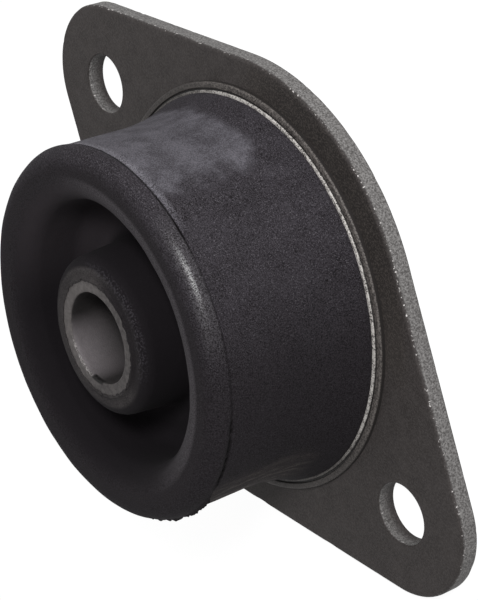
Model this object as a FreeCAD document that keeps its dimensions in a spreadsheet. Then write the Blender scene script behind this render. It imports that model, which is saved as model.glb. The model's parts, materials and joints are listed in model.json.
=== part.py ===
import FreeCAD, Part
import math
import os

import Sketcher
from FreeCAD import Vector

# Bonded rubber engine mount with a two-hole flange, in millimetres.
#
# The flange plate lies flat on Z = 0 and the round rubber body rises from it
# along +Z. The origin is the centre of the bolt sleeve's bore, on the plate's
# back face, and the two fixing holes lie on the X axis.
#
# Four pieces: the pressed mounting plate, the flanged steel shell that is
# pressed into it, the rubber body moulded over and inside that shell, and the
# steel sleeve bonded in the middle of the rubber.

SIZES = [
    # mounting plate
    ("hole_spacing", 100.0, "centre to centre of the two fixing holes"),
    ("hole_dia", 11.2, "fixing hole"),
    ("ear_wall", 9.4, "metal outside each fixing hole, which sets the round end of the plate"),
    ("plate_thickness", 3.4, "steel sheet of the plate"),
    ("waist_land", 5.2, "metal beside the shell ring at the widest part of the plate"),
    ("front_edge_round", 0.7, "rolled-over edge on the punch side of the blanked outline"),
    ("back_edge_round", 0.3, "broken edge at the back of the outline"),
    # steel shell: a tube with a ring at its foot
    ("ring_proud", 1.1, "how far the shell's ring stands above the plate"),
    ("ring_land", 1.8, "ring left bare outside the foot of the rubber"),
    ("ring_chamfer", 0.4, "outer edge of the ring"),
    ("shell_wall", 2.0, "sheet of the shell's tube"),
    ("skin", 2.1, "rubber outside the tube, where the side is straight"),
    ("shell_cover", 7.3, "rubber over the front edge of the tube"),
    # rubber body
    ("seam_dia", 65.8, "straight part of the side, up to the seam where the mould parts"),
    ("side_height", 27.3, "from the ring up to the seam"),
    ("foot_flare", 2.85, "how far the foot spreads beyond the straight part of the side"),
    ("flare_height", 7.7, "from the ring up to the corner that the flare rounds off"),
    ("flare_round", 38.0, "hollow of the flare"),
    ("lip_depth", 3.5, "from the seam up to the front of the rim"),
    ("lip_step", 0.3, "rim standing proud of the side at the seam"),
    ("rim_outer_round", 3.3, "outer shoulder of the rim"),
    ("rim_inner_round", 4.5, "inner shoulder of the rim, where the dish begins"),
    ("dish_wall", 4.9, "rubber between the shell and the dish"),
    ("dish_depth", 13.0, "dish below the front of the rim"),
    ("dish_draft", 1.1, "how far each wall of the dish leans in over its depth"),
    ("floor_round", 3.0, "corners at the floor of the dish"),
    ("boss_wall", 3.65, "rubber boss around the sleeve"),
    ("boss_round", 2.4, "shoulder of the boss"),
    ("boss_step", 0.3, "rubber boss below each end face of the sleeve"),
    ("rear_depth", 8.0, "recess in the back of the rubber"),
    ("rear_step", 0.8, "back of the rubber above the back of the plate"),
    ("rear_round", 2.0, "corners of the rear recess"),
    # bolt sleeve
    ("bore_dia", 16.3, "bore of the sleeve, free on a 16 mm bolt"),
    ("sleeve_wall", 2.2, "wall of the sleeve"),
    ("sleeve_setback", 1.3, "rear end of the sleeve above the back of the plate"),
    ("sleeve_chamfer", 0.35, "edges of the sleeve's ends"),
]

# Places that follow from the sizes, written once as expressions on the sheet.
HOLE_RADIUS = "Sizes.hole_dia / 2"
SEAM_RADIUS = "Sizes.seam_dia / 2"
FOOT_RADIUS = SEAM_RADIUS + " + Sizes.foot_flare"
RING_RADIUS = FOOT_RADIUS + " + Sizes.ring_land"
EAR_RADIUS = "Sizes.hole_dia / 2 + Sizes.ear_wall"
WAIST_RADIUS = RING_RADIUS + " + Sizes.waist_land"
RING_TOP = "Sizes.plate_thickness + Sizes.ring_proud"
FLARE_Z = RING_TOP + " + Sizes.flare_height"
LIP_RADIUS = SEAM_RADIUS + " + Sizes.lip_step"
SEAM_Z = RING_TOP + " + Sizes.side_height"
NOSE_Z = SEAM_Z + " + Sizes.lip_depth"
TUBE_RADIUS = SEAM_RADIUS + " - Sizes.skin"
TUBE_INSIDE = TUBE_RADIUS + " - Sizes.shell_wall"
TUBE_Z = NOSE_Z + " - Sizes.shell_cover"
DISH_RADIUS = TUBE_INSIDE + " - Sizes.dish_wall"
DISH_FLOOR_RADIUS = DISH_RADIUS + " - Sizes.dish_draft"
DISH_FLOOR_Z = NOSE_Z + " - Sizes.dish_depth"
BORE_RADIUS = "Sizes.bore_dia / 2"
SLEEVE_RADIUS = BORE_RADIUS + " + Sizes.sleeve_wall"
BOSS_RADIUS = SLEEVE_RADIUS + " + Sizes.boss_wall"
BOSS_FLOOR_RADIUS = BOSS_RADIUS + " + Sizes.dish_draft"
BOSS_TOP_Z = NOSE_Z + " - Sizes.boss_step"
BOSS_REAR_Z = "Sizes.sleeve_setback + Sizes.boss_step"
RECESS_Z = "Sizes.rear_step + Sizes.rear_depth"
# The hollow of the flare ends at the foot, so its round can't run past the flare's slope.
FLARE_SLOPE = "sqrt(Sizes.foot_flare ^ 2 + Sizes.flare_height ^ 2)"
WIDEST_FLARE = f"{FLARE_SLOPE} * ({FLARE_SLOPE} + Sizes.flare_height) / Sizes.foot_flare"
FLARE_ROUND = f"min(Sizes.flare_round; 0.95 * {WIDEST_FLARE})"
# Two rounds share the floor of the dish, so neither may pass its half of it.
FLOOR_ROUND = f"min(Sizes.floor_round; 0.45 * (({DISH_FLOOR_RADIUS}) - ({BOSS_FLOOR_RADIUS})))"

doc = FreeCAD.newDocument("engine_mount")


def fill_sheet():
    """Put every driving dimension in the sheet, under its own name."""
    sheet = doc.addObject("Spreadsheet::Sheet", "Sizes")
    for row, (alias, value, note) in enumerate(SIZES, start=1):
        sheet.set(f"A{row}", note)
        sheet.set(f"B{row}", str(value))
        sheet.setAlias(f"B{row}", alias)
    doc.recompute()


fill_sheet()
rule = doc.addObject("App::FeaturePython", "rule")
rule.addProperty("App::PropertyFloat", "reading")


def value(expression):
    """A place on the object as a number, for a sketch's first guess."""
    rule.setExpression("reading", expression)
    rule.recompute()
    return rule.reading


def new_body(label):
    body = doc.addObject("PartDesign::Body", label)
    body.Label = label
    body.Placement = FreeCAD.Placement(Vector(0, 0, 0), FreeCAD.Rotation())
    return body


def new_sketch(body, name, plane):
    """A sketch on one of the body's own origin planes."""
    sketch = body.newObject("Sketcher::SketchObject", name)
    support = next(item for item in body.Origin.OriginFeatures if item.Role == plane)
    sketch.AttachmentSupport = (support, [""])
    sketch.MapMode = "FlatFace"
    return sketch


def dimension(sketch, kind, places, name, expression):
    """A named dimension of the sketch, bound to the sheet."""
    index = sketch.addConstraint(Sketcher.Constraint(kind, *places, value(expression)))
    sketch.renameConstraint(index, name)
    sketch.setExpression(f"Constraints.{name}", expression)


def half_section(body, name, corners):
    """Closed polygon in the XZ plane, given as (corner, radius, height).

    A side whose ends share a radius is drawn vertical, one whose ends share a
    height is drawn horizontal, and every other place is a dimension.
    """
    sketch = new_sketch(body, name, "XZ_Plane")
    points = [Vector(value(radius), value(height), 0) for _, radius, height in corners]
    for index, start in enumerate(points):
        end = points[(index + 1) % len(points)]
        sketch.addGeometry(Part.LineSegment(start, end), False)
    for index in range(len(points)):
        following = (index + 1) % len(points)
        sketch.addConstraint(Sketcher.Constraint("Coincident", index, 2, following, 1))
    for index, (corner, radius, height) in enumerate(corners):
        before = corners[index - 1]
        if index and radius == before[1]:
            sketch.addConstraint(Sketcher.Constraint("Vertical", index - 1))
        else:
            dimension(sketch, "DistanceX", (-1, 1, index, 1), corner + "_radius", radius)
        if index and height == before[2]:
            sketch.addConstraint(Sketcher.Constraint("Horizontal", index - 1))
        elif height == "0":
            sketch.addConstraint(Sketcher.Constraint("PointOnObject", index, 1, -1))
        else:
            dimension(sketch, "DistanceY", (-1, 1, index, 1), corner + "_height", height)
    return sketch


def revolve(body, name, sketch):
    turned = body.newObject("PartDesign::Revolution", name)
    turned.Profile = sketch
    turned.ReferenceAxis = (sketch, ["V_Axis"])
    turned.Angle = 360
    sketch.Visibility = False
    doc.recompute()
    return turned


def ring_edges(feature, places):
    """Names of the circular edges at the given (radius, height) places."""
    names = []
    for radius, height in places:
        for number, edge in enumerate(feature.Shape.Edges, start=1):
            if not isinstance(edge.Curve, Part.Circle):
                continue
            near_radius = abs(edge.Curve.Radius - value(radius)) < 1e-4
            near_height = abs(edge.Curve.Center.z - value(height)) < 1e-4
            if near_radius and near_height:
                names.append(f"Edge{number}")
    return names


def dress(body, kind, name, base, edges, size):
    """A fillet or chamfer whose size is bound to the sheet."""
    if not edges:
        raise RuntimeError(f"{name}: no edge found")
    feature = body.newObject(f"PartDesign::{kind}", name)
    feature.Base = (base, edges)
    feature.setExpression("Radius" if kind == "Fillet" else "Size", size)
    doc.recompute()
    return feature


def plate_outline(body):
    """Lozenge outline: round ears about the holes, a round waist, four tangents."""
    sketch = new_sketch(body, "outline", "XY_Plane")
    half = value("Sizes.hole_spacing / 2")
    ear = value(EAR_RADIUS)
    waist = value(WAIST_RADIUS)
    lean = math.acos((waist - ear) / half)
    ear_centres = [Vector(half, 0, 0), Vector(-half, 0, 0)]
    ear_turns = [(-lean, lean), (math.pi - lean, math.pi + lean)]
    waist_turns = [(lean, math.pi - lean), (math.pi + lean, 2 * math.pi - lean)]
    up = Vector(0, 0, 1)
    for centre, (start, end) in zip(ear_centres, ear_turns):
        sketch.addGeometry(Part.ArcOfCircle(Part.Circle(centre, up, ear), start, end), False)
    for start, end in waist_turns:
        sketch.addGeometry(Part.ArcOfCircle(Part.Circle(Vector(), up, waist), start, end), False)
    right_ear, left_ear, top_waist, bottom_waist = range(4)
    # Going round anticlockwise, each tangent leaves one arc's end for the next arc's start.
    for leaving, arriving in [(right_ear, top_waist), (top_waist, left_ear),
                              (left_ear, bottom_waist), (bottom_waist, right_ear)]:
        start = sketch.Geometry[leaving].EndPoint
        end = sketch.Geometry[arriving].StartPoint
        line = sketch.addGeometry(Part.LineSegment(start, end), False)
        sketch.addConstraint(Sketcher.Constraint("Tangent", leaving, 2, line, 1))
        sketch.addConstraint(Sketcher.Constraint("Tangent", line, 2, arriving, 1))
    for waist_arc in (top_waist, bottom_waist):
        sketch.addConstraint(Sketcher.Constraint("Coincident", waist_arc, 3, -1, 1))
    sketch.addConstraint(Sketcher.Constraint("Symmetric", left_ear, 3, right_ear, 3, -1, 1))
    sketch.addConstraint(Sketcher.Constraint("PointOnObject", right_ear, 3, -1))
    sketch.addConstraint(Sketcher.Constraint("Equal", right_ear, left_ear))
    sketch.addConstraint(Sketcher.Constraint("Equal", top_waist, bottom_waist))
    dimension(sketch, "DistanceX", (left_ear, 3, right_ear, 3), "ear_centres", "Sizes.hole_spacing")
    dimension(sketch, "Radius", (right_ear,), "ear", EAR_RADIUS)
    dimension(sketch, "Radius", (top_waist,), "waist", WAIST_RADIUS)
    return sketch


def round_hole(body, name, distance, radius):
    """A round hole through the plate, at a distance along X."""
    sketch = new_sketch(body, name + "_circle", "XY_Plane")
    centre = Vector(value(distance), 0, 0)
    circle = Part.Circle(centre, Vector(0, 0, 1), value(radius))
    sketch.addGeometry(circle, False)
    if distance == "0":
        sketch.addConstraint(Sketcher.Constraint("Coincident", 0, 3, -1, 1))
    else:
        sketch.addConstraint(Sketcher.Constraint("PointOnObject", 0, 3, -1))
        dimension(sketch, "DistanceX", (-1, 1, 0, 3), "from_centre", distance)
    dimension(sketch, "Radius", (0,), "hole", radius)
    before = body.Shape.Volume
    hole = body.newObject("PartDesign::Pocket", name)
    hole.Profile = sketch
    hole.Type = "ThroughAll"
    hole.Reversed = True
    sketch.Visibility = False
    doc.recompute()
    if before - hole.Shape.Volume < 1.0:
        raise RuntimeError(f"{name}: the hole removed nothing")
    return hole


def outline_edges(feature, height):
    """Names of the outer edges of the flat face at that height."""
    flats = [face for face in feature.Shape.Faces
             if isinstance(face.Surface, Part.Plane) and abs(face.CenterOfMass.z - height) < 1e-4]
    outer = max(flats, key=lambda face: face.Area).OuterWire
    return [f"Edge{number}" for number, edge in enumerate(feature.Shape.Edges, start=1)
            if any(edge.isSame(other) for other in outer.Edges)]


def make_mounting_plate():
    """Blanked and punched steel plate that carries the mount."""
    body = new_body("mounting_plate")
    blank = body.newObject("PartDesign::Pad", "blank")
    blank.Profile = plate_outline(body)
    blank.setExpression("Length", "Sizes.plate_thickness")
    doc.recompute()
    round_hole(body, "shell_opening", "0", RING_RADIUS)
    right_hole = round_hole(body, "fixing_hole", "Sizes.hole_spacing / 2", HOLE_RADIUS)
    both_holes = body.newObject("PartDesign::Mirrored", "both_fixing_holes")
    both_holes.Originals = [right_hole]
    middle = next(item for item in body.Origin.OriginFeatures if item.Role == "YZ_Plane")
    both_holes.MirrorPlane = (middle, [""])
    body.Tip = both_holes
    doc.recompute()
    front = outline_edges(both_holes, value("Sizes.plate_thickness"))
    rolled = dress(body, "Fillet", "rolled_front_edge", both_holes, front,
                   "Sizes.front_edge_round")
    dress(body, "Fillet", "broken_back_edge", rolled, outline_edges(rolled, 0),
          "Sizes.back_edge_round")
    return body


def make_outer_shell():
    """Steel tube with a thick ring at its foot, pressed into the plate."""
    body = new_body("outer_shell")
    section = half_section(body, "shell_section", [
        ("foot_inside", TUBE_INSIDE, "0"),
        ("ring_back", RING_RADIUS, "0"),
        ("ring_front", RING_RADIUS, RING_TOP),
        ("tube_foot", TUBE_RADIUS, RING_TOP),
        ("tube_front", TUBE_RADIUS, TUBE_Z),
        ("tube_lip", TUBE_INSIDE, TUBE_Z),
    ])
    turned = revolve(body, "drawn_shell", section)
    edge = ring_edges(turned, [(RING_RADIUS, RING_TOP)])
    dress(body, "Chamfer", "ring_edge", turned, edge, "Sizes.ring_chamfer")
    return body


def make_rubber_body():
    """Rubber moulded inside, over and around the shell, and onto the sleeve.

    The section goes up the flared foot and the straight side, over the rim,
    down into the dish, up the boss, down the sleeve, round the rear recess and
    back along both faces of the shell's tube, which stands inside the rubber.
    """
    body = new_body("rubber_body")
    section = half_section(body, "rubber_section", [
        ("foot", FOOT_RADIUS, RING_TOP),
        ("flare", SEAM_RADIUS, FLARE_Z),
        ("seam", SEAM_RADIUS, SEAM_Z),
        ("lip", LIP_RADIUS, SEAM_Z),
        ("rim_outside", LIP_RADIUS, NOSE_Z),
        ("rim_inside", DISH_RADIUS, NOSE_Z),
        ("dish_floor_outside", DISH_FLOOR_RADIUS, DISH_FLOOR_Z),
        ("dish_floor_inside", BOSS_FLOOR_RADIUS, DISH_FLOOR_Z),
        ("boss_front", BOSS_RADIUS, BOSS_TOP_Z),
        ("sleeve_front", SLEEVE_RADIUS, BOSS_TOP_Z),
        ("sleeve_rear", SLEEVE_RADIUS, BOSS_REAR_Z),
        ("boss_rear", BOSS_RADIUS, BOSS_REAR_Z),
        ("recess_inside", BOSS_RADIUS, RECESS_Z),
        ("recess_outside", DISH_RADIUS, RECESS_Z),
        ("recess_mouth", DISH_RADIUS, "Sizes.rear_step"),
        ("shell_rear", TUBE_INSIDE, "Sizes.rear_step"),
        ("shell_front_inside", TUBE_INSIDE, TUBE_Z),
        ("shell_front_outside", TUBE_RADIUS, TUBE_Z),
        ("shell_foot", TUBE_RADIUS, RING_TOP),
    ])
    moulded = revolve(body, "moulded_rubber", section)
    flare = dress(body, "Fillet", "side_flare", moulded,
                  ring_edges(moulded, [(SEAM_RADIUS, FLARE_Z)]), FLARE_ROUND)
    shoulder = dress(body, "Fillet", "rim_outer_shoulder", flare,
                     ring_edges(flare, [(LIP_RADIUS, NOSE_Z)]), "Sizes.rim_outer_round")
    mouth = dress(body, "Fillet", "rim_inner_shoulder", shoulder,
                  ring_edges(shoulder, [(DISH_RADIUS, NOSE_Z)]), "Sizes.rim_inner_round")
    floor = dress(body, "Fillet", "dish_floor_corners", mouth,
                  ring_edges(mouth, [(DISH_FLOOR_RADIUS, DISH_FLOOR_Z),
                                     (BOSS_FLOOR_RADIUS, DISH_FLOOR_Z)]), FLOOR_ROUND)
    boss = dress(body, "Fillet", "boss_shoulder", floor,
                 ring_edges(floor, [(BOSS_RADIUS, BOSS_TOP_Z)]), "Sizes.boss_round")
    dress(body, "Fillet", "rear_recess_corners", boss,
          ring_edges(boss, [(BOSS_RADIUS, RECESS_Z), (DISH_RADIUS, RECESS_Z)]),
          "Sizes.rear_round")
    return body


def make_inner_sleeve():
    """Steel tube for the through bolt, cut to length and broken at its edges."""
    body = new_body("inner_sleeve")
    section = half_section(body, "sleeve_section", [
        ("rear_inside", BORE_RADIUS, "Sizes.sleeve_setback"),
        ("rear_outside", SLEEVE_RADIUS, "Sizes.sleeve_setback"),
        ("front_outside", SLEEVE_RADIUS, NOSE_Z),
        ("front_inside", BORE_RADIUS, NOSE_Z),
    ])
    turned = revolve(body, "cut_tube", section)
    ends = [(radius, height) for radius in (BORE_RADIUS, SLEEVE_RADIUS)
            for height in ("Sizes.sleeve_setback", NOSE_Z)]
    dress(body, "Chamfer", "broken_ends", turned, ring_edges(turned, ends),
          "Sizes.sleeve_chamfer")
    return body


def check(pieces):
    """Stop if any object failed or any piece isn't one valid solid."""
    failed = [item.Label for item in doc.Objects
              if "Invalid" in item.State or "Error" in item.State]
    if failed:
        raise RuntimeError("failed objects: " + ", ".join(failed))
    for piece in pieces:
        shape = piece.Shape
        if shape.isNull() or not shape.isValid() or len(shape.Solids) != 1:
            raise RuntimeError(f"{piece.Label} is not one valid solid")


pieces = [make_mounting_plate(), make_outer_shell(), make_rubber_body(), make_inner_sleeve()]
doc.recompute()
check(pieces)
os.makedirs("parts", exist_ok=True)
for piece in pieces:
    piece.Shape.exportStep(f"parts/{piece.Label}.step")
    box = piece.Shape.optimalBoundingBox()
    print(f"{piece.Label}: {piece.Shape.Volume:.1f} mm3, "
          f"{box.XLength:.2f} x {box.YLength:.2f} x {box.ZLength:.2f} mm")
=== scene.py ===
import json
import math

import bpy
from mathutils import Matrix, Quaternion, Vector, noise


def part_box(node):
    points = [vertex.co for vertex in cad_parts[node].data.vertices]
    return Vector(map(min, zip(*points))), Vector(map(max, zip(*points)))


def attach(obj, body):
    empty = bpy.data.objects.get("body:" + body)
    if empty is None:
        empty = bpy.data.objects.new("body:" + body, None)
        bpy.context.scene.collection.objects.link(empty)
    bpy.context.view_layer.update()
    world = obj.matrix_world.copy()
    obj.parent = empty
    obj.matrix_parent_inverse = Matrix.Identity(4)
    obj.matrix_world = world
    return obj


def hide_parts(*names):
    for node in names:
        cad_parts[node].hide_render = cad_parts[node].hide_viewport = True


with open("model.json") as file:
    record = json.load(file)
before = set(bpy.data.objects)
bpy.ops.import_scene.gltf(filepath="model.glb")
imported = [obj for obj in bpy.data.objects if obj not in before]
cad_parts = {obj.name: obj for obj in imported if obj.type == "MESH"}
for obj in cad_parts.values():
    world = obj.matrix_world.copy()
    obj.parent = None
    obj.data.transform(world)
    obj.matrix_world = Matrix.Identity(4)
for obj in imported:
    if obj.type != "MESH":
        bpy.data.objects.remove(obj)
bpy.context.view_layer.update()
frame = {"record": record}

# %% [markdown]
# # A bonded rubber engine mount
#
# This lesson dresses the packed model of an engine mount: a pressed steel flange, a steel
# shell pressed into it, a rubber body moulded over the shell, and a steel sleeve bonded in
# the middle. The packed model gives the sizes, so every piece made here fits it.

MM = 0.001
mounts = {mount["name"]: mount for mount in frame["record"]["mounts"]}

plate_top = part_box("mounting_plate")[1][2] / MM
waist_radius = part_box("mounting_plate")[1][1] / MM
hole_radius = mounts["fixing_holes"]["dims"]["hole_r_mm"]
hole_place = mounts["fixing_holes"]["dims"]["spacing_x_mm"] / 2
ear_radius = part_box("mounting_plate")[1][0] / MM - hole_place
ring_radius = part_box("outer_shell")[1][0] / MM
tube_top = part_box("outer_shell")[1][2] / MM
foot_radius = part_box("rubber_body")[1][0] / MM
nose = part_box("rubber_body")[1][2] / MM
rubber_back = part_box("rubber_body")[0][2] / MM
sleeve_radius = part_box("inner_sleeve")[1][0] / MM
sleeve_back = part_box("inner_sleeve")[0][2] / MM
bore_radius = mounts["bolt_bore"]["dims"]["r_mm"]
print(f"holes at {hole_place} mm, ring radius {ring_radius:.2f}, nose at {nose:.2f}")

# %% [markdown]
# The packed boxes don't show the inner corners of each section, so these few sizes are
# written again as they are in the construction. Every other place follows from them.

# %% Sizes inside the sections, in millimetres
ring_top = plate_top + 1.1
seam_height = nose - 3.5
seam_radius = 32.9
lip_radius = seam_radius + 0.3
tube_radius = seam_radius - 2.1
tube_inside = tube_radius - 2.0
dish_radius = tube_inside - 4.9
dish_floor = nose - 13.0
dish_draft = 1.1
boss_radius = sleeve_radius + 3.65
boss_top = nose - 0.3
boss_back = sleeve_back + 0.3
recess_floor = rubber_back + 8.0
print(f"seam at {seam_height:.2f} mm, floor of the dish at {dish_floor:.2f} mm")

# %% [markdown]
# ## Camera
#
# The mount lies on its flange, and the camera looks at it from above and to one side. A
# long lens keeps the round pieces nearly true, and the camera is turned well over, so that
# the flange appears to stand on edge. A quaternion that tracks the aim does both turns.

# %% Camera
CAMERA_PLACE = Vector((0.1271, 0.2549, 0.1918))
CAMERA_AIM = Vector((0.0005, -0.0030, 0.0038))
CAMERA_ROLL = math.radians(-109.3)
LENS_MM = 114.95

turn = (CAMERA_PLACE - CAMERA_AIM).to_track_quat("Z", "Y")
turn = turn @ Quaternion((0, 0, 1), CAMERA_ROLL)
camera_data = bpy.data.cameras.new("camera")
camera_data.lens = LENS_MM
camera_data.sensor_width = 36
camera_data.clip_start = 0.01
camera = bpy.data.objects.new("camera", camera_data)
camera.rotation_mode = "QUATERNION"
camera.location = CAMERA_PLACE
camera.rotation_quaternion = turn
bpy.context.collection.objects.link(camera)
bpy.context.scene.camera = camera
print("camera is", round((CAMERA_PLACE - CAMERA_AIM).length, 3), "m away")

# %% [markdown]
# ## Light
#
# A soft lamp hangs over the front of the mount and draws the streak along the shoulder of
# the rim. A weaker one stands on the far side and lifts the top of the rubber's side. Area
# lamps are used, because a dull black shape reads only by broad, soft reflections.

# %% Lamps
def soft_lamp(name, place, aim, width, height, watts):
    """A rectangular lamp of that size in metres, which faces the aim."""
    data = bpy.data.lights.new(name, "AREA")
    data.shape = "RECTANGLE"
    data.size = width
    data.size_y = height
    data.energy = watts
    lamp = bpy.data.objects.new(name, data)
    lamp.location = place
    lamp.rotation_mode = "QUATERNION"
    lamp.rotation_quaternion = (Vector(place) - Vector(aim)).to_track_quat("Z", "Y")
    bpy.context.collection.objects.link(lamp)


soft_lamp("front_lamp", (0.07, 0.39, 0.28), (0, 0, 0.02), 0.10, 0.10, 2.4)
soft_lamp("far_lamp", (-0.26, 0.20, 0.16), (-0.08, 0.05, 0), 0.14, 0.14, 0.2)
print(len(bpy.data.lights), "lamps hung")

# %% [markdown]
# ## Shader maths
#
# Node trees made by code are hard to read. Here a small class wraps an output socket, and
# Python's own operators on it add the Math nodes, so a pattern reads as a formula. Every
# other node comes from one method, which sets the node's options first and then its inputs.

# %% Sockets that take part in sums
class Shade:
    """An output socket that takes part in sums as a number does."""

    def __init__(self, finish, socket):
        self.finish = finish
        self.socket = socket

    def maths(self, operation, *values):
        return self.finish.node("ShaderNodeMath", {"operation": operation},
                                dict(enumerate(values)))

    def __add__(self, other):
        return self.maths("ADD", self, other)

    __radd__ = __add__

    def __sub__(self, other):
        return self.maths("SUBTRACT", self, other)

    def __rsub__(self, other):
        return self.maths("SUBTRACT", other, self)

    def __mul__(self, other):
        return self.maths("MULTIPLY", self, other)

    __rmul__ = __mul__

    def __pow__(self, other):
        return self.maths("POWER", self, other)


print("operators:", ", ".join(key for key in vars(Shade) if key.startswith("__r")))

# %% [markdown]
# A colour is chosen as it should look on a display, but the shader counts light, which
# isn't the same scale. The conversion is done once, in Python.

# %% Colours as a display shows them
def display(red, green, blue):
    """A colour from display values of 0 to 255, made linear as Blender wants it."""
    def linear(part):
        part = part / 255
        return part / 12.92 if part <= 0.04045 else ((part + 0.055) / 1.055) ** 2.4
    return (linear(red), linear(green), linear(blue), 1.0)


print("display grey 128 is", round(display(128, 128, 128)[0], 3), "linear")

# %% [markdown]
# Every material starts empty and is wired up by the few moves that all finishes share: a
# soft step between two limits, a mix of two colours, and a shallow relief.

# %% One material, node by node
class Finish:
    """One material, made node by node."""

    def __init__(self, name):
        self.material = bpy.data.materials.new(name)
        self.material.use_nodes = True
        self.tree = self.material.node_tree
        self.tree.nodes.clear()

    def node(self, kind, settings=None, values=None, output=0):
        made = self.tree.nodes.new(kind)
        for key, setting in (settings or {}).items():
            setattr(made, key, setting)
        for key, entry in (values or {}).items():
            if isinstance(entry, Shade):
                self.tree.links.new(entry.socket, made.inputs[key])
            else:
                made.inputs[key].default_value = entry
        if made.outputs:
            return Shade(self, made.outputs[output])

    def between(self, value, low, high):
        """0 at low, 1 at high, and smooth in between. Low may be the larger."""
        return self.node("ShaderNodeMapRange", {"interpolation_type": "SMOOTHSTEP"},
                         {"Value": value, "From Min": low, "From Max": high})

    def mix(self, share, first, second):
        return self.node("ShaderNodeMix", {"data_type": "RGBA"},
                         {0: share, 6: first, 7: second}, output=2)

    def bump(self, height, depth):
        """A relief whose full height is depth millimetres."""
        return self.node("ShaderNodeBump", values={
            "Height": height, "Distance": depth * MM})

    def close(self, **inputs):
        """The surface itself: inputs are the shader's own sockets by name."""
        values = {key.replace("_", " "): entry for key, entry in inputs.items()}
        shader = self.node("ShaderNodeBsdfPrincipled", values=values)
        self.node("ShaderNodeOutputMaterial", values={"Surface": shader})
        return self.material


print("a finish can", ", ".join(key for key in vars(Finish) if key[0] != "_"))

# %% [markdown]
# Wear on a round part follows its axis: a side of it faces the light or the hand, and a
# height on it meets the tool. So the finishes of the mount's own pieces know the place of
# each point in millimetres, its distance from the bore's axis, and which side it is on.

# %% Finishes that know their place on the mount
class PieceFinish(Finish):
    """A finish whose patterns are placed in millimetres about the bore's axis."""

    def __init__(self, name):
        super().__init__(name)
        here = self.node("ShaderNodeTexCoord", output="Object")
        self.place = self.node("ShaderNodeVectorMath", {"operation": "SCALE"},
                               {"Vector": here, "Scale": 1 / MM})
        self.x, self.y, self.height = [
            self.node("ShaderNodeSeparateXYZ", values={"Vector": self.place}, output=axis)
            for axis in range(3)]
        self.reach = (self.x ** 2 + self.y ** 2) ** 0.5

    def towards(self, degrees):
        """1 on the side of the axis at that angle from X, and -1 on the other side."""
        turned = math.radians(degrees)
        return (self.x * math.cos(turned) + self.y * math.sin(turned)) * self.reach ** -1

    def grain(self, size, detail=2.0, roughness=0.5, stretch=(1, 1, 1)):
        """Soft noise, from 0 to 1, whose lumps are about size millimetres across."""
        moved = self.node("ShaderNodeMapping",
                          values={"Vector": self.place, "Scale": stretch})
        return self.node("ShaderNodeTexNoise", values={
            "Vector": moved, "Scale": 1 / size, "Detail": detail, "Roughness": roughness})

    def attribute(self, name):
        """A value painted on the points of the piece."""
        return self.node("ShaderNodeAttribute", {"attribute_name": name}, output=2)


print("a piece's finish adds", ", ".join(key for key in vars(PieceFinish) if key[0] != "_"))

# %% [markdown]
# ## Floor
#
# The floor is plain white paper. Seen straight on or mirrored it glows white, so that the
# background stays clean, but a share of it is still lit paper and keeps the mount's shadow.
# It lies a hair below the plate, so that the two faces don't share a plane.

# %% Floor
FLOOR_SIZE = 6
FLOOR_DROP = 0.05
SHADOW_SHARE = 0.15
PAPER_GLOW = 1.12


def white_paper():
    paper = Finish("white_paper")
    lit = paper.node("ShaderNodeBsdfDiffuse", values={"Color": (0.8, 0.8, 0.8, 1)})
    glow = paper.node("ShaderNodeEmission", values={"Strength": PAPER_GLOW})
    straight, mirrored, through = [
        paper.node("ShaderNodeLightPath", output=f"Is {kind} Ray")
        for kind in ("Camera", "Glossy", "Transmission")]
    seen = straight + mirrored + through
    surface = paper.node("ShaderNodeMixShader", values={
        0: seen * (1 - SHADOW_SHARE), 1: lit, 2: glow})
    paper.node("ShaderNodeOutputMaterial", values={"Surface": surface})
    return paper.material


def nothing_selected():
    for thing in bpy.context.selected_objects:
        thing.select_set(False)


nothing_selected()
bpy.ops.mesh.primitive_plane_add(size=FLOOR_SIZE)
floor = bpy.context.object
floor.name = "floor"
floor.data.materials.append(white_paper())
floor.location.z = -FLOOR_DROP * MM
print("floor laid", FLOOR_SIZE, "m wide")

# %% [markdown]
# The world does the same as the floor: white where it is seen, and dimmer as a light, so
# that the lamps and not the sky shape the rubber.

# %% World
SKY_LIGHT = 0.25

world = bpy.data.worlds.new("studio")
bpy.context.scene.world = world
world.use_nodes = True
air = world.node_tree
rays = air.nodes.new("ShaderNodeLightPath")
level = rays.outputs["Is Camera Ray"]
for kind in ("Glossy", "Transmission"):
    total = air.nodes.new("ShaderNodeMath")
    air.links.new(level, total.inputs[0])
    air.links.new(rays.outputs[f"Is {kind} Ray"], total.inputs[1])
    level = total.outputs[0]
strength = air.nodes.new("ShaderNodeMapRange")
strength.inputs["To Min"].default_value = SKY_LIGHT
strength.inputs["To Max"].default_value = 1.0
sky = air.nodes["Background"]
sky.inputs["Color"].default_value = (1, 1, 1, 1)
air.links.new(level, strength.inputs["Value"])
air.links.new(strength.outputs["Result"], sky.inputs["Strength"])
bpy.context.scene.view_settings.view_transform = "Standard"
print("sky lights the mount at", SKY_LIGHT)

# %% [markdown]
# ## Turning a round piece
#
# Three of the four pieces are round, and each is a closed section turned about the bore.
# Bevels on a finished mesh would give every corner one width, so the corners are rounded
# while the section is drawn, each with its own radius. Each leg says how close its points
# lie: close where the surface shows, far apart where it is hidden.

# %% Section with rounded corners
LONGEST_ARC_STEP = 0.45


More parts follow.
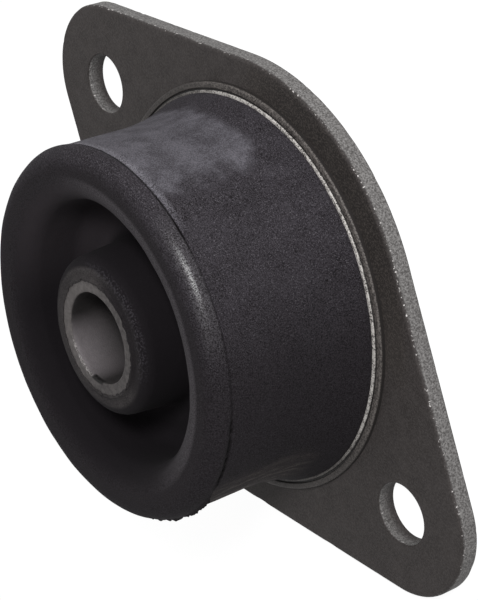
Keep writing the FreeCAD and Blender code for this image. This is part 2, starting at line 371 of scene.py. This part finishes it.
def rounded(corners):
    """Section points from corners given as (radius, height, round, spacing of the leg)."""
    arcs = []
    for index, (radius, height, turn_radius, spacing) in enumerate(corners):
        here = Vector((radius, height))
        if not turn_radius:
            arcs.append([here])
            continue
        before = (Vector(corners[index - 1][:2]) - here).normalized()
        after = (Vector(corners[(index + 1) % len(corners)][:2]) - here).normalized()
        half = before.angle(after) / 2
        reach = turn_radius / math.tan(half)
        centre = here + (before + after).normalized() * turn_radius / math.sin(half)
        first = here + before * reach - centre
        last = here + after * reach - centre
        sweep = math.atan2(last.y, last.x) - math.atan2(first.y, first.x)
        sweep = (sweep + math.pi) % (2 * math.pi) - math.pi
        arc_step = min(spacing, LONGEST_ARC_STEP)
        steps = max(3, math.ceil(abs(sweep) * turn_radius / arc_step))
        arcs.append([centre + Matrix.Rotation(sweep * step / steps, 2) @ first
                     for step in range(steps + 1)])
    points = []
    for index, arc in enumerate(arcs):
        points += arc
        start, end = arc[-1], arcs[(index + 1) % len(arcs)][0]
        steps = max(1, round((end - start).length / corners[index][3]))
        points += [start.lerp(end, step / steps) for step in range(1, steps)]
    return points


block = [(radius, height, 0.2, 1) for radius, height in ((4, 0), (6, 0), (6, 2), (4, 2))]
print("a rounded block has", len(rounded(block)), "points in its section")

# %% [markdown]
# The lathe starts as a single point, which is extruded along the section, edge by edge, and
# then spun about the axis. The seam of the spin is merged, and the faces are turned outward
# once the solid is closed.

# %% Lathe
LARGE_STEPS = 400
SLEEVE_STEPS = 300


def lathe(name, corners, steps_round):
    """Draw the closed section edge by edge, and spin it into a solid ring."""
    points = rounded(corners)
    nothing_selected()
    bpy.ops.mesh.primitive_plane_add(size=0.01)
    piece = bpy.context.object
    piece.name = name
    bpy.ops.object.mode_set(mode="EDIT")
    bpy.ops.mesh.select_all(action="SELECT")
    bpy.ops.mesh.merge(type="CENTER")
    bpy.ops.transform.translate(value=(points[0].x * MM, 0, points[0].y * MM))
    for start, end in zip(points, points[1:] + points[:1]):
        move = ((end.x - start.x) * MM, 0, (end.y - start.y) * MM)
        bpy.ops.mesh.extrude_region_move(TRANSFORM_OT_translate={"value": move})
    bpy.ops.mesh.select_all(action="SELECT")
    bpy.ops.mesh.spin(steps=steps_round, angle=2 * math.pi, center=(0, 0, 0),
                      axis=(0, 0, 1))
    bpy.ops.mesh.select_all(action="SELECT")
    bpy.ops.mesh.remove_doubles(threshold=2e-6)
    bpy.ops.mesh.normals_make_consistent(inside=False)
    bpy.ops.object.mode_set(mode="OBJECT")
    print(name, "has a section of", len(points), "points")
    return piece


print("one step of the lathe turns", 360 / LARGE_STEPS, "degrees")

# %% [markdown]
# ## Shaping by points
#
# Wear is too irregular for operators, so it is put on the points in code: one helper moves
# them, the other paints a value on them that a material reads back as an attribute.

# %% Moving and painting points
def points_of(piece):
    """Every point of a piece: the vertex, its place in millimetres and its normal."""
    normals = [Vector(entry.vector) for entry in piece.data.vertex_normals]
    return [(vertex, vertex.co / MM, normal)
            for vertex, normal in zip(piece.data.vertices, normals)]


def sculpt(piece, shift):
    """Move every point by shift(point, normal), which gives a vector in millimetres."""
    for vertex, point, normal in points_of(piece):
        vertex.co += shift(point, normal) * MM
    piece.data.update()
    print(piece.name, "is sculpted over", len(piece.data.vertices), "points")


def paint(piece, name, share):
    """Keep share(point, normal) on every point, for the piece's material to read."""
    values = piece.data.attributes.new(name, "FLOAT", "POINT").data
    for entry, (vertex, point, normal) in zip(values, points_of(piece)):
        entry.value = share(point, normal)
    print(name, "is painted on", piece.name)


# %% [markdown]
# A finished piece is shaded smooth except across real corners, gets its material, and takes
# the place of its packed node. It rides the one body that the mount has.

# %% Handing a piece over
SMOOTH_BELOW = math.radians(38)


def finish_piece(piece, material, node):
    """Smooth, dress and hand the piece to the frame in place of its packed node."""
    nothing_selected()
    piece.select_set(True)
    bpy.context.view_layer.objects.active = piece
    bpy.ops.object.shade_smooth_by_angle(angle=SMOOTH_BELOW)
    piece.data.materials.clear()
    piece.data.materials.append(material)
    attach(piece, "root")
    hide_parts(node)
    triangles = sum(len(face.vertices) - 2 for face in piece.data.polygons)
    print(piece.name, "has", triangles, "triangles")


# %% [markdown]
# ## Rubber body
#
# One moulding: the drafted side, the rim, the dish, the boss round the sleeve and the
# recess at the back, with the shell's tube left as a slot inside it. Rubber squeezed out
# between the boss and the mould's core leaves a thin ragged film on the sleeve's end.

# %% Rubber moulding
film_top = nose - 0.01
rubber = lathe("rubber_moulding", [
    (foot_radius, ring_top + 0.02, 0.25, 0.5),
    (seam_radius, ring_top + 7.7, 38, 0.5),
    (seam_radius, seam_height - 1.2, 0, 0.15),
    (seam_radius, seam_height, 0, 0.13),
    (lip_radius, seam_height + 0.15, 0, 0.15),
    (lip_radius, nose - 0.03, 3.4, 0.4),
    (dish_radius, nose - 0.03, 4.5, 0.5),
    (dish_radius - dish_draft, dish_floor, 3.0, 0.5),
    (boss_radius + dish_draft, dish_floor, 3.0, 0.5),
    (boss_radius, boss_top, 2.4, 0.3),
    (sleeve_radius + 0.55, boss_top, 0, 0.3),
    (sleeve_radius + 0.15, film_top, 0.1, 0.3),
    (sleeve_radius - 0.35, film_top, 0, 1),
    (sleeve_radius - 0.35, film_top - 0.1, 0, 1),
    (sleeve_radius, film_top - 0.11, 0, 8),
    (sleeve_radius, boss_back, 0, 1),
    (boss_radius, boss_back, 0.4, 1),
    (boss_radius, recess_floor, 2.0, 1),
    (dish_radius, recess_floor, 2.0, 1),
    (dish_radius, rubber_back, 0.4, 1),
    (tube_inside, rubber_back, 0, 8),
    (tube_inside, tube_top, 0, 1),
    (tube_radius, tube_top, 0, 8),
    (tube_radius, ring_top + 0.02, 0, 1),
], LARGE_STEPS)

# %% [markdown]
# The mould parts at the seam below the rim. Part of the joint has opened into a fine
# crack, part is torn, and on the low side a ragged lip of flash is left. Each of the three
# has its own stretch of the circle, which a window with soft ends marks out.

# %% Stretches of a circle
def heading(point):
    """Angle of a point about the bore's axis, in degrees from 0 to 360."""
    return math.degrees(math.atan2(point.y, point.x)) % 360


def ramp(value, low, high):
    """0 at low, 1 at high, and smooth in between."""
    share = min(1, max(0, (value - low) / (high - low)))
    return share * share * (3 - 2 * share)


def window(value, start, end, fade):
    """1 between start and end, falling to 0 over fade on either side."""
    return ramp(value, start - fade, start) * (1 - ramp(value, end, end + fade))


print("a window from 10 to 20 at 9:", window(9, 10, 20, 2))


# %% Marks of the seam
def seam_marks(point):
    """How far the seam is cracked, torn and flashed at a point, each from 0 to about 1."""
    turned = heading(point)
    above = point.z - seam_height
    outward = Vector((point.x, point.y, 0)).normalized()
    rough = noise.noise(outward * 46)
    finer = noise.noise(outward * 130 + Vector((0, 0, above * 2)))
    crack = window(turned, 84, 152, 8) + 0.3 * window(turned, 28, 84, 6)
    crack += 0.5 * window(turned, 180, 300, 15)
    crack *= (0.8 + 0.5 * rough) * math.exp(-(above / 0.16) ** 2)
    torn = window(turned, 2, 26, 3) * window(above, -0.5, 0.3, 0.2)
    torn *= min(1, max(0, 0.8 + 1.2 * finer + rough))
    flash = window((turned + 60) % 360, 12, 54, 5) * math.exp(-((above + 0.05) / 0.22) ** 2)
    flash *= max(0, 0.8 + 0.8 * rough + 0.7 * finer)
    return crack, torn, flash


def near_seam(point):
    reach = math.hypot(point.x, point.y)
    return reach > seam_radius - 0.6 and abs(point.z - seam_height) < 1.2


def seam_black(point, normal):
    if not near_seam(point):
        return 0.0
    crack, torn, flash = seam_marks(point)
    return min(1.0, 2.6 * crack + 1.2 * torn + 1.6 * flash)


paint(rubber, "seam_black", seam_black)

# %% [markdown]
# The rest of the surface is only a little wavy, as rubber is after it has shrunk in
# cooling, and the rim has crept a fraction of a millimetre to one side. The film on the
# sleeve's end gets its ragged edge in the same pass.

# %% Waviness, seam and film
RIM_DRIFT = Vector((-0.015, -0.15, 0))


def on_outside(point):
    """Whether a point of the moulding is one that can be seen from the front."""
    reach = math.hypot(point.x, point.y)
    return reach > tube_radius + 0.6 or (point.z > tube_top + 0.6 and
                                         reach > sleeve_radius + 0.3)


def rubber_shift(point, normal):
    reach = math.hypot(point.x, point.y)
    outward = Vector((point.x, point.y, 0)) / reach
    if reach < sleeve_radius + 0.3 and point.z > film_top - 0.13:
        ragged = noise.noise(outward * 9) * 0.34 + noise.noise(outward * 30) * 0.2
        on_face = reach < sleeve_radius - 0.1
        return outward * (ragged + 0.1) if on_face else Vector()
    if not on_outside(point):
        return Vector()
    wave = noise.noise(point / 7) * 0.06 + noise.noise(point / 2.4) * 0.03
    shift = normal * wave - Vector((0, 0, 0.08 * abs(normal.z)))
    shift += RIM_DRIFT * ramp(point.z, seam_height, seam_height + 0.3) * ramp(reach, 20, 26)
    if near_seam(point):
        crack, torn, flash = seam_marks(point)
        shift += outward * (0.8 * flash - 0.45 * crack - 0.35 * torn)
    return shift


sculpt(rubber, rubber_shift)

# %% [markdown]
# The rubber itself is black and finely pebbled. Light is painted into its colour as a
# lighter grey high on the side, round the inner brim of the rim and on the far wall of the
# dish, and the rest of the dish is painted darker as shade. Two noises serve every layer of
# it, fine specks and soft clouds, so that the layers belong together.

# %% Bare rubber
LIT_AND_DUSTY_SIDE = 120
LIT_FAR_WALL_SIDE = 140
LIT_BRIM_SIDE = 62


def side_of(rubber):
    """1 on the outer side below the seam."""
    below = rubber.between(rubber.height, seam_height + 0.2, seam_height - 0.2)
    return below * rubber.between(rubber.reach, tube_radius, tube_radius + 1.0)


def bare_rubber(rubber, specks, clouds):
    outer = rubber.between(rubber.reach, 29.0, 32.2)
    # Painted light: the outer rubber is painted lighter grey on the side towards 120
    # degrees, and its flecks are brighter there.
    lit_upper = rubber.between(rubber.towards(LIT_AND_DUSTY_SIDE), 0.05, 0.8)
    tone = outer * (0.12 + lit_upper * 0.88) * (clouds * 0.35 + specks * 0.65)
    tone = tone * (side_of(rubber) * 0.2 + 0.55)
    # Painted light on the dish's far wall, towards 140 degrees; elsewhere the dish is
    # painted darker than the outside, as shade.
    lit_far_wall = rubber.between(rubber.towards(LIT_FAR_WALL_SIDE), 0.1, 0.95)
    dish_shade_and_light = rubber.mix(lit_far_wall * rubber.between(rubber.reach, 15, 18),
                      display(14, 11, 14), display(44, 40, 43))
    front = rubber.mix(specks, display(11, 8, 10), display(38, 35, 38))
    colour = rubber.mix(rubber.between(rubber.reach, 24.5, 28), dish_shade_and_light, front)
    colour = rubber.mix(tone, colour, display(60, 57, 62))
    fleck = rubber.between(rubber.grain(0.17, 1.0), 0.6, 0.72) * outer
    colour = rubber.mix(fleck * (lit_upper * 0.45 + 0.12), colour, display(104, 101, 106))
    # Painted light: the inner brim of the rim is painted lighter grey on the side towards
    # 62 degrees.
    lit_brim = rubber.between(rubber.reach, 24.0, 25.5)
    lit_brim = lit_brim * rubber.between(rubber.reach, 28.6, 27.6)
    lit_brim = lit_brim * rubber.between(rubber.height, nose - 3.5, nose - 1.5)
    lit_brim = lit_brim * rubber.between(rubber.towards(LIT_BRIM_SIDE), 0.0, 0.7)
    return rubber.mix(lit_brim * (0.3 + specks * 0.7), colour, display(70, 67, 70))


print("the dusty side is at", LIT_AND_DUSTY_SIDE, "degrees")

# %% [markdown]
# Grey powder clings to the upper side, and a painted reflection lightens it there too, most
# in a broad patch that reaches up to the seam; powder also lies in a narrow band along the
# seam. The low side is scuffed with streaks that run up the side, over a band painted
# lighter as a reflection. A noise stretched along the height draws the streaks.

# %% Powder and scuffs on the side
SHEEN_PATCH_SIDE = 126
SCUFF_AND_SHEEN_SIDE = -28


def powder_and_sheen(rubber, colour, specks, clouds, cloud):
    side = side_of(rubber)
    uneven = (cloud - 0.5) * 0.16
    # Powder and a painted reflection: a broad lighter patch high on the side, towards 126
    # degrees.
    dust_and_sheen_patch = rubber.between(rubber.towards(SHEEN_PATCH_SIDE) + uneven, 0.84, 0.94) * side
    dust_and_sheen_patch = dust_and_sheen_patch * rubber.between(rubber.height + uneven * 30, 9, 12)
    dust_and_sheen_tone = rubber.mix(specks * 0.65 + clouds * 0.35, display(52, 50, 54),
                        display(98, 96, 102))
    colour = rubber.mix(dust_and_sheen_patch * (clouds * 0.35 + 0.65) * 0.9, colour, dust_and_sheen_tone)
    band = rubber.between(rubber.towards(LIT_AND_DUSTY_SIDE) + uneven, 0.78, 0.92) * side
    band = band * rubber.between(rubber.height, seam_height - 2.0, seam_height - 0.7)
    return rubber.mix(band * specks * 0.7, colour, display(116, 114, 120))


def scuffs_and_sheen(rubber, colour, specks):
    rubs = rubber.grain(1.6, 4.0, 0.65, (1, 1, 0.25))
    # Scuffs and a painted reflection: the low side is painted lighter in a band, with
    # streaks of scuffing over it.
    low = rubber.between(rubber.towards(SCUFF_AND_SHEEN_SIDE), 0.84, 0.95) * side_of(rubber)
    low = low * rubber.between(rubber.height, 8, 14)
    scuff_and_sheen = low * (0.25 + rubber.between(rubs, 0.46, 0.62) * 0.75) * (0.4 + specks * 0.6)
    return rubber.mix(scuff_and_sheen, colour, display(88, 82, 80))


print("the powdered patch is at", SHEEN_PATCH_SIDE, "degrees, the scuffs at", SCUFF_AND_SHEEN_SIDE)

# %% [markdown]
# The boss is dusty on its flat top, less so on one side, and a few crumbs of dust lie on
# its shoulder. One stretch of the rim is rubbed smooth enough to gleam, which is a clear
# coat over the rubber there and not a lighter colour.

# %% Boss, seam and gleam
CLEAR_SIDE = 55
CRUMB_SIDE = 75
GLEAM_SIDE = 69


def boss_dusted(rubber, colour, specks, clouds):
    top = rubber.between(rubber.reach, 12.9, 12.1)
    top = top * rubber.between(rubber.height, boss_top - 0.9, boss_top - 0.3)
    shy = rubber.between(rubber.towards(CLEAR_SIDE), 0.35, 0.85)
    dust = (0.1 + specks * 0.6 + clouds * 0.3) * (1 - shy * 0.8)
    colour = rubber.mix(top * dust, colour, display(64, 61, 61))
    shoulder = rubber.between(rubber.reach, 13.9, 12.9)
    shoulder = shoulder * rubber.between(rubber.reach, 11.2, 12.2)
    shoulder = shoulder * rubber.between(rubber.towards(CRUMB_SIDE), 0.3, 0.8)
    crumbs = rubber.between(rubber.grain(0.35, 3.0, 0.7), 0.5, 0.6)
    return rubber.mix(shoulder * crumbs * 0.28, colour, display(84, 81, 86))


def moulded_rubber():
    rubber = PieceFinish("moulded_rubber")
    fine = rubber.grain(0.22, 2.0, 0.7)
    pebble = rubber.grain(0.8, 2.0, 0.6)
    cloud = rubber.grain(4.5, 5.0, 0.62)
    specks = rubber.between(fine, 0.36, 0.66)
    clouds = rubber.between(cloud, 0.25, 0.75)
    colour = bare_rubber(rubber, specks, clouds)
    colour = powder_and_sheen(rubber, colour, specks, clouds, cloud)
    colour = scuffs_and_sheen(rubber, colour, specks)
    colour = boss_dusted(rubber, colour, specks, clouds)
    colour = rubber.mix(rubber.attribute("seam_black"), colour, display(4, 3, 3))
    polish = rubber.between(rubber.height, seam_height, seam_height + 0.5)
    polish = polish * rubber.between(rubber.reach, 31.2, 32.0)
    polish = polish * rubber.between(rubber.towards(GLEAM_SIDE), 0.9, 0.99)
    return rubber.close(Base_Color=colour, Roughness=0.86 + pebble * 0.08,
                        Specular_IOR_Level=0.13,
                        Coat_Weight=polish * (0.07 + specks * 0.63), Coat_Roughness=0.33,
                        Normal=rubber.bump(fine * 0.7 + pebble * 0.5, 0.09))


finish_piece(rubber, moulded_rubber(), "rubber_body")

# %% [markdown]
# ## Shell ring
#
# The shell's tube stands inside the rubber, and only the face of the ring at its foot
# shows: a narrow bead of bare steel beside the rubber, a fine groove, and a darker band.
# The bead and the groove are a fraction of a millimetre, drawn as corners of the section.

# %% Shell
shell = lathe("shell_ring", [
    (tube_inside, 0, 0, 6),
    (ring_radius, 0, 0.2, 2),
    (ring_radius, ring_top - 0.1, 0.35, 0.4),
    (foot_radius + 0.75, ring_top - 0.1, 0.1, 0.3),
    (foot_radius + 0.6, ring_top - 0.4, 0, 1),
    (foot_radius + 0.35, ring_top - 0.4, 0, 1),
    (foot_radius + 0.25, ring_top, 0.1, 0.3),
    (tube_radius, ring_top, 0, 8),
    (tube_radius, tube_top, 0, 1),
    (tube_inside, tube_top, 0, 8),
], LARGE_STEPS)

# %% [markdown]
# The bare bead is worn away in places, so a noise breaks it up. A highlight is painted on
# it, and light on the band, both strongest on the side that faces the lamp. Painted shade
# darkens the groove and the ring's outer foot.

# %% Shell surface
HIGHLIGHT_SIDE = 70


def ring_steel():
    steel = PieceFinish("ring_steel")
    wipe = steel.grain(1.4, 4.0, 0.65)
    fine = steel.grain(0.3, 3.0, 0.7)
    # Painted highlight on the bare bead and painted light on the band, strongest towards 70
    # degrees.
    lit = steel.between(steel.towards(HIGHLIGHT_SIDE), 0.15, 0.6)
    bead = steel.between(steel.reach, foot_radius + 0.4, foot_radius + 0.3)
    broken = steel.between(fine * 0.6 + wipe * 0.4, 0.4, 0.56)
    bare_and_highlight = bead * broken * (0.1 + lit * 0.9)
    band = steel.mix(steel.between(fine, 0.35, 0.65) * (0.35 + lit * 0.65),
                     display(34, 31, 30), display(96, 91, 88))
    colour = steel.mix(bare_and_highlight, band, display(188, 184, 180))
    # Painted shade in the groove and on the ring's outer foot beside the plate.
    groove_shade = steel.between(steel.height, ring_top - 0.18, ring_top - 0.32)
    groove_shade = groove_shade * steel.between(steel.reach, ring_radius - 0.2, ring_radius - 0.5)
    colour = steel.mix(groove_shade, colour, display(20, 18, 18))
    foot_shade = steel.between(steel.height, ring_top - 0.35, ring_top - 0.5)
    foot_shade = foot_shade * steel.between(steel.reach, ring_radius - 0.3, ring_radius - 0.1)
    colour = steel.mix(foot_shade, colour, display(34, 31, 30))
    return steel.close(Base_Color=colour, Roughness=0.6, Metallic=0.2,
                       Specular_IOR_Level=0.3, Normal=steel.bump(fine, 0.04))


finish_piece(shell, ring_steel(), "outer_shell")

# %% [markdown]
# ## Bolt sleeve
#
# A length of steel tube, and the simplest section of the three. Its end face is sawn, but a
# lathe leaves it perfectly flat, so a noise presses the points of that face in, never out.

# %% Sleeve
sleeve_face = nose - 0.1
sleeve = lathe("bolt_sleeve", [
    (bore_radius, sleeve_back, 0.3, 0.5),
    (sleeve_radius, sleeve_back, 0.3, 5),
    (sleeve_radius, sleeve_face, 0.25, 0.3),
    (bore_radius, sleeve_face, 0.3, 1),
], SLEEVE_STEPS)


def sleeve_shift(point, normal):
    """Saw marks and dents on the front face only, always inwards."""
    if point.z < sleeve_face - 0.25:
        return Vector()
    return Vector((0, 0, -0.05 - 0.05 * noise.noise(point / 0.9)))


sculpt(sleeve, sleeve_shift)

# %% [markdown]
# The bore is drawn and smoother than the face. One side of it near its mouth is painted
# lighter as light, a highlight is painted along a stretch of its edge, and a dark spot lies
# beside it.

# %% Sleeve surface
LIGHTER_FACE_SIDE = 200
LIT_BORE_SIDE = 254
SPOT_SIDE = -61
EDGE_HIGHLIGHT_SIDE = 262


def bore_steel(steel, dirt):
    # Painted light: one side of the bore near its mouth is painted lighter, varied by dirt.
    lit_bore = steel.between(steel.towards(LIT_BORE_SIDE), 0.58, 1.0)
    lit_bore = lit_bore * steel.between(steel.height, nose - 11, nose - 0.5)
    return steel.mix(lit_bore * (0.7 + dirt * 0.5), display(38, 36, 36),
                     display(104, 99, 101))


def spot_and_edge_highlight(steel, colour, fine):
    """The dark spot at the mouth of the bore, and a highlight painted on the edge beside
    it.
    """
    spot = steel.between(steel.towards(SPOT_SIDE), 0.975, 0.988)
    spot = spot * steel.between(steel.height, nose - 1.2, nose - 0.9)
    spot = spot * steel.between(steel.reach, bore_radius + 0.5, bore_radius + 0.3)
    colour = steel.mix(spot, colour, display(14, 12, 12))
    # Painted highlight along a stretch of the bore's edge.
    edge_highlight = steel.between(steel.reach, bore_radius + 0.4, bore_radius + 0.25)
    edge_highlight = edge_highlight * steel.between(steel.height, sleeve_face - 0.5, sleeve_face - 0.3)
    edge_highlight = edge_highlight * steel.between(steel.towards(EDGE_HIGHLIGHT_SIDE), 0.8, 0.97)
    edge_highlight = edge_highlight * steel.between(fine, 0.45, 0.62) * (1 - spot)
    return steel.mix(edge_highlight * 0.45, colour, display(170, 166, 166))


def sleeve_steel():
    steel = PieceFinish("sleeve_steel")
    dirt = steel.grain(1.0, 4.0, 0.7)
    fine = steel.grain(0.25, 2.0, 0.6)
    face = steel.between(steel.height, sleeve_face - 0.5, sleeve_face - 0.2)
    # The end face is lighter towards 200 degrees and blotched by the dirt noise.
    face_tone = steel.between(steel.towards(LIGHTER_FACE_SIDE), -0.5, 0.8)
    face_tone = steel.mix(face_tone * 0.5 + steel.between(dirt, 0.35, 0.65) * 0.5,
                     display(52, 49, 49), display(90, 86, 85))
    colour = steel.mix(face, bore_steel(steel, dirt), face_tone)
    colour = spot_and_edge_highlight(steel, colour, fine)
    return steel.close(Base_Color=colour, Roughness=0.5 + face * 0.2, Metallic=0.25,
                       Specular_IOR_Level=0.3, Normal=steel.bump(fine + dirt, 0.05))


finish_piece(sleeve, sleeve_steel(), "inner_sleeve")

# %% [markdown]
# ## Flange plate
#
# The outline is a round waist and two round ears joined by tangents, which is exactly what
# a convex hull makes of three discs. The holes are then punched through it, as on the real
# sheet, by booleans with cylinders.

# %% Discs and punches
WAIST_STEPS = 320
HOLE_STEPS = 160


def disc(radius, depth, place, steps_round):
    nothing_selected()
    bpy.ops.mesh.primitive_cylinder_add(vertices=steps_round, radius=radius * MM,
                                        depth=depth * MM,
                                        location=[part * MM for part in place])
    bpy.ops.object.transform_apply(location=True)
    return bpy.context.object


def punch(piece, radius, place, steps_round):
    """Cut a round hole through the plate."""
    cutter = disc(radius, 4 * plate_top, place, steps_round)
    nothing_selected()
    bpy.context.view_layer.objects.active = piece
    cut = piece.modifiers.new("punch", "BOOLEAN")
    cut.operation = "DIFFERENCE"
    cut.solver = "EXACT"
    cut.object = cutter
    bpy.ops.object.modifier_apply(modifier="punch")
    bpy.data.objects.remove(cutter)
    print("punched a hole of", radius, "mm radius")


# %% [markdown]
# An edge is picked by where its two ends lie, and not by its number, so the pick holds when
# a size changes. The punch side of a blanked sheet rolls over, so its edges are bevelled
# more than those behind.

# %% Picking and bevelling edges
FRONT_EDGE = 0.7
BACK_EDGE = 0.3
HOLE_EDGE = 0.35


def pick_edges(piece, wanted):
    """Enter edit mode with only the wanted edges selected."""
    bpy.context.view_layer.objects.active = piece
    bpy.ops.object.mode_set(mode="EDIT")
    bpy.ops.mesh.select_mode(type="EDGE")
    bpy.ops.mesh.select_all(action="DESELECT")
    bpy.ops.object.mode_set(mode="OBJECT")
    points = [point.co / MM for point in piece.data.vertices]
    for edge in piece.data.edges:
        edge.select = wanted(*[points[index] for index in edge.vertices])
    bpy.ops.object.mode_set(mode="EDIT")


def bevel_edges(piece, wanted, width, segments):
    pick_edges(piece, wanted)
    bpy.ops.mesh.bevel(offset=width * MM, segments=segments, affect="EDGES")
    bpy.ops.object.mode_set(mode="OBJECT")
    print("bevelled to", width, "mm, now", len(piece.data.vertices), "points")


def from_hole(point):
    """Distance of a point from the axis of the nearer fixing hole."""
    return math.hypot(abs(point.x) - hole_place, point.y)


def at_height(start, end, height):
    return abs(start.z - height) < 0.01 and abs(end.z - height) < 0.01


def on_rim(start, end, height):
    """Whether an edge belongs to the outline, at that height."""
    return at_height(start, end, height) and all(
        math.hypot(point.x, point.y) > ring_radius + 1 and
        from_hole(point) > hole_radius + 1 for point in (start, end))


def on_hole(start, end):
    """Whether an edge belongs to the front mouth of a fixing hole."""
    return at_height(start, end, plate_top) and max(
        from_hole(start), from_hole(end)) < hole_radius + 0.2


# %% [markdown]
# The discs are joined and wrapped in their hull, and the triangles of its flat caps are
# dissolved. The long straight sides are then divided, so that a dent has points to move.

# %% Plate
half_sheet = plate_top / 2
discs = [disc(waist_radius, plate_top, (0, 0, half_sheet), WAIST_STEPS)]
discs += [disc(ear_radius, plate_top, (side * hole_place, 0, half_sheet), HOLE_STEPS)
          for side in (-1, 1)]
for item in discs:
    item.select_set(True)
bpy.context.view_layer.objects.active = discs[0]
bpy.ops.object.join()
plate = bpy.context.object
plate.name = "flange_plate"
bpy.ops.object.mode_set(mode="EDIT")
bpy.ops.mesh.select_all(action="SELECT")
bpy.ops.mesh.convex_hull()
bpy.ops.mesh.select_all(action="SELECT")
bpy.ops.mesh.dissolve_limited(angle_limit=math.radians(0.4))
bpy.ops.object.mode_set(mode="OBJECT")
pick_edges(plate, lambda start, end: (start - end).length > 5)
bpy.ops.mesh.subdivide(number_cuts=50)
bpy.ops.object.mode_set(mode="OBJECT")
punch(plate, ring_radius, (0, 0, half_sheet), LARGE_STEPS)
for side in (-1, 1):
    punch(plate, hole_radius, (side * hole_place, 0, half_sheet), HOLE_STEPS)
bevel_edges(plate, lambda start, end: on_rim(start, end, plate_top), FRONT_EDGE, 4)
bevel_edges(plate, lambda start, end: on_rim(start, end, 0), BACK_EDGE, 2)
bevel_edges(plate, on_hole, HOLE_EDGE, 3)

# %% [markdown]
# A blanked edge is never quite straight: it is dented by handling and rubbed by its
# neighbours in the bin. The dents go inwards only, so the plate keeps to its size.

# %% Dents in the plate's edge
def plate_shift(point, normal):
    """Dents and rubs along the blanked edge, always inwards."""
    if from_hole(point) < hole_radius + 1 or math.hypot(point.x, point.y) < ring_radius + 1:
        return Vector()
    dent = max(0, noise.noise(point / 3.5) - 0.2) * 0.3
    dent += max(0, noise.noise(point / 1.4) - 0.35) * 0.5
    return Vector((normal.x, normal.y, 0)) * -dent


paint(plate, "sheared", lambda point, normal: 1 - abs(normal.z))
sculpt(plate, plate_shift)

# %% [markdown]
# The faces have a dark, slightly blotchy coating, with painted shade in a strip beside the
# shell. The sheared edge is bare and rough, and its crest is nicked, with glints painted on
# the nicks.

# %% Plate surface
WAIST_SIDE = 76
DARKEST_SIDE = 82


def coated_face(steel, blotch, speckle, specks):
    face = steel.mix(steel.between(blotch, 0.3, 0.7), display(32, 28, 27),
                     display(44, 40, 39))
    face = steel.mix(specks * 0.5, face, display(70, 66, 65))
    # Painted shade: the face is darker in a strip beside the rubber body, towards 76
    # degrees, with lighter specks in it.
    waist_shade = steel.between(steel.towards(WAIST_SIDE), 0.62, 0.8)
    waist_shade = waist_shade * steel.between(steel.reach, 44, 41)
    deepest_shade = steel.between(steel.towards(DARKEST_SIDE), 0.7, 0.95) * 0.5 + blotch * 0.6
    waist_shade_tone = steel.mix(deepest_shade, display(46, 42, 40), display(20, 17, 16))
    waist_shade_tone = steel.mix(steel.between(speckle, 0.44, 0.64) * 0.6, waist_shade_tone, display(66, 61, 58))
    return steel.mix(waist_shade, face, waist_shade_tone)


def phosphated_steel():
    steel = PieceFinish("phosphated_steel")
    blotch = steel.grain(4.0, 4.0, 0.6)
    speckle = steel.grain(0.35, 3.0, 0.7)
    specks = steel.between(speckle, 0.35, 0.68)
    sheared = steel.between(steel.attribute("sheared"), 0.35, 0.9)
    bare = steel.mix(specks, display(70, 68, 67), display(126, 124, 123))
    colour = steel.mix(sheared, coated_face(steel, blotch, speckle, specks), bare)
    crest = steel.between(steel.height, plate_top - 0.75, plate_top - 0.5)
    crest = crest * steel.between(steel.height, plate_top - 0.12, plate_top - 0.3)
    # Nicks along the crest of the front edge: bare steel, painted near white as glints.
    nick_and_glint = crest * steel.between(steel.grain(0.5, 2.0, 0.6), 0.6, 0.7)
    colour = steel.mix(nick_and_glint, colour, display(196, 192, 190))
    return steel.close(Base_Color=colour, Roughness=0.7, Specular_IOR_Level=0.25,
                       Normal=steel.bump(speckle, 0.07))


finish_piece(plate, phosphated_steel(), "mounting_plate")

# %% [markdown]
# Smooth shading would round the plate's broad flat faces where they meet the narrow bevels.
# Normals weighted by the size of each face keep the faces flat.

# %% Flat faces of the plate
nothing_selected()
bpy.context.view_layer.objects.active = plate
smooth = plate.modifiers.new("flat_faces", "WEIGHTED_NORMAL")
smooth.keep_sharp = True
bpy.ops.object.modifier_apply(modifier="flat_faces")
print("the plate's normals are weighted")

# %% [markdown]
# ## Check of the size
# The dressed mount has to fill the same box as the packed model.
